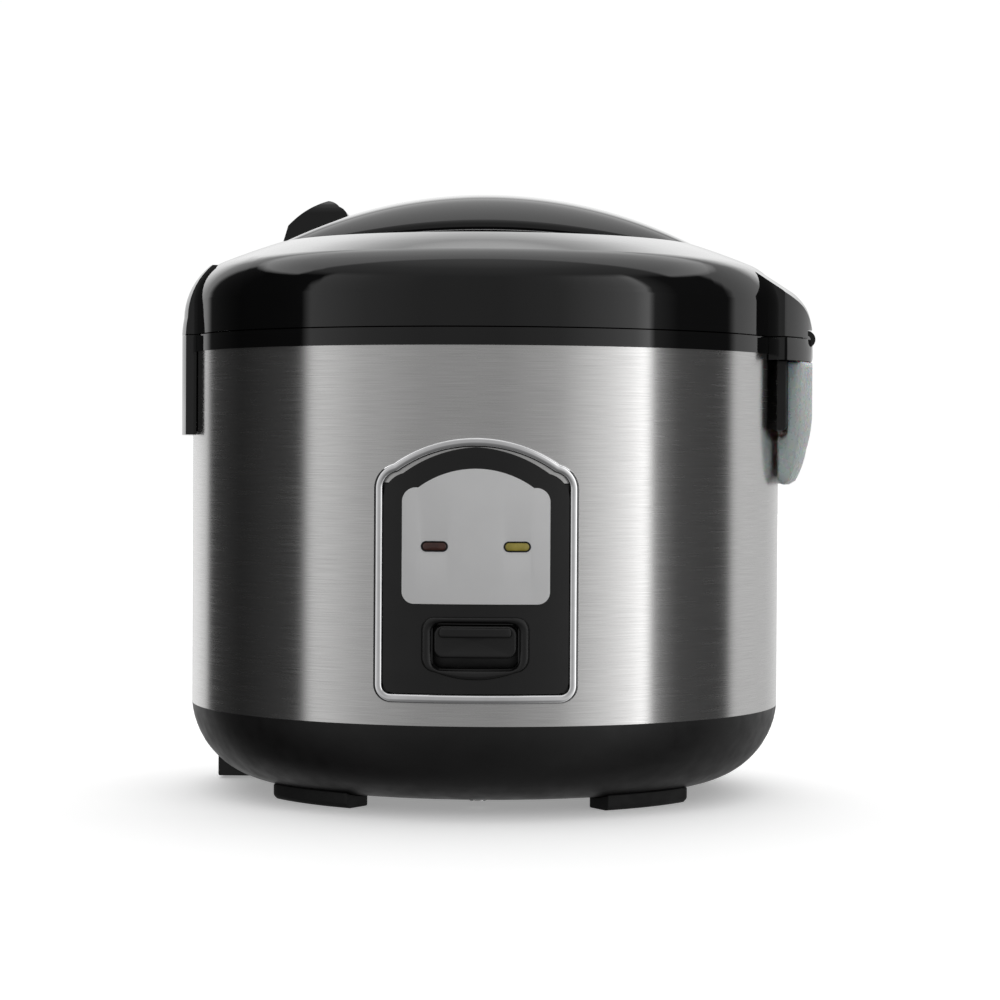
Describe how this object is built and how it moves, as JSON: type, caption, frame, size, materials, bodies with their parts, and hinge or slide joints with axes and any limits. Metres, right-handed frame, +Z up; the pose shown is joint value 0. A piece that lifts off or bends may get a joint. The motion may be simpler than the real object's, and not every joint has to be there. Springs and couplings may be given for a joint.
{
  "type": "rice cooker",
  "caption": "Jar-type electric rice cooker with a hinged lid, arched handle, steam vent cap, front cook lever, brushed steel body and removable condensate collector.",
  "frame": {"origin": "on the body's axis, at the level of the feet's undersides", "axes": "+Z up, -Y towards the control panel, +X towards the lid's hinge, -X towards the latch"},
  "size_m": [0.2587, 0.2439, 0.2436],
  "materials": {
    "black_matte": "satin moulded plastic",
    "black_gloss": "high gloss moulded plastic",
    "black_panel": "fine satin moulded plastic",
    "brushed_steel": "brushed along the circumference",
    "steel": "plain steel",
    "chrome": "bright chrome",
    "label_silver": "fine silver",
    "red_lens": "dark red translucent lens",
    "amber_lens": "yellow translucent lens",
    "aluminium": "satin",
    "clear_plastic": "translucent moulded plastic",
    "rubber": "matt rubber",
    "liner_plastic": "moulded grey",
    "board": "circuit board",
    "band_cover": "foil band"
  },
  "bodies": {
    "root": {"arm_bracket": "steel", "arm_pin": "steel", "band_heater": "band_cover", "base_screws": "steel", "base_shell": "black_matte", "bottom_cover": "black_matte", "collar_ring": "black_gloss", "collector_bracket": "black_matte", "cook_lamp_lens": "red_lens", "foot_front_left": "rubber", "foot_front_right": "rubber", "foot_rear_left": "rubber", "foot_rear_right": "rubber", "heat_shield": "aluminium", "heating_element": "steel", "heating_plate": "aluminium", "hinge_housing": "black_gloss", "hinge_pin": "steel", "hinge_spring": "steel", "inlet_pins": "steel", "inner_pot": "aluminium", "label_plate": "label_silver", "lamp_board": "board", "latch_cover": "black_gloss", "latch_pin": "steel", "latch_spring": "steel", "lever_bezel": "black_panel", "microswitch": "black_matte", "outer_sleeve": "brushed_steel", "panel_body": "black_panel", "panel_frame": "chrome", "plate_legs": "steel", "power_inlet": "black_matte", "sensor_spring": "steel", "terminal_block": "black_matte", "thermal_fuse": "steel", "warm_lamp_lens": "amber_lens"},
    "lid": {"lid_shell": "black_gloss", "lid_handle": "black_gloss", "handle_screws": "steel", "lid_liner": "liner_plastic", "lid_screws": "steel", "inner_lid_plate": "aluminium", "lid_gasket": "rubber", "plate_grommet": "rubber", "vent_tube": "liner_plastic"},
    "vent_cap": {"steam_vent_cap": "black_gloss"},
    "latch": {"latch_lever": "black_gloss"},
    "cook_lever": {"cook_lever": "black_panel"},
    "switch_arm": {"switch_arm": "steel"},
    "magnet": {"magnet_rod": "steel"},
    "sensor": {"sensor_cup": "aluminium"},
    "collector": {"condensate_collector": "clear_plastic"}
  },
  "joints": [
    {"name": "lid_hinge", "type": "hinge", "parent": "root", "child": "lid", "pos_m": [0.1305, 0, 0.18415], "axis": [0, 1, 0], "range_deg": [0, 85]},
    {"name": "vent_cap_lift", "type": "slide", "parent": "lid", "child": "vent_cap", "axis": [0, 0, 1], "range_m": [0, 0.018]},
    {"name": "latch_pivot", "type": "hinge", "parent": "root", "child": "latch", "pos_m": [-0.1221, 0, 0.168], "axis": [0, 1, 0], "range_deg": [0, 5], "stiffness_Nm_per_rad": 0.4, "springref_deg": -2.86, "deforming": ["latch_spring"]},
    {"name": "cook_lever_press", "type": "slide", "parent": "root", "child": "cook_lever", "axis": [0, 0, -1], "range_m": [0, 0.0036], "stiffness_N_per_m": 300, "springref_m": -0.003},
    {"name": "switch_arm_pivot", "type": "hinge", "parent": "root", "child": "switch_arm", "pos_m": [0, -0.05, 0.0455], "axis": [1, 0, 0], "range_deg": [0, 4]},
    {"name": "magnet_lift", "type": "slide", "parent": "root", "child": "magnet", "axis": [0, 0, 1], "range_m": [0, 0.0035]},
    {"name": "sensor_press", "type": "slide", "parent": "root", "child": "sensor", "axis": [0, 0, -1], "range_m": [0, 0.0025], "stiffness_N_per_m": 400, "springref_m": -0.003, "deforming": ["sensor_spring"]},
    {"name": "collector_pull", "type": "slide", "parent": "root", "child": "collector", "axis": [1, 0, 0], "range_m": [0, 0.03]}
  ],
  "couplings": [
    {"joint": "switch_arm_pivot", "follows": "cook_lever_press", "rad_per_m": 16.72},
    {"joint": "magnet_lift", "follows": "cook_lever_press", "ratio": 0.836}
  ]
}
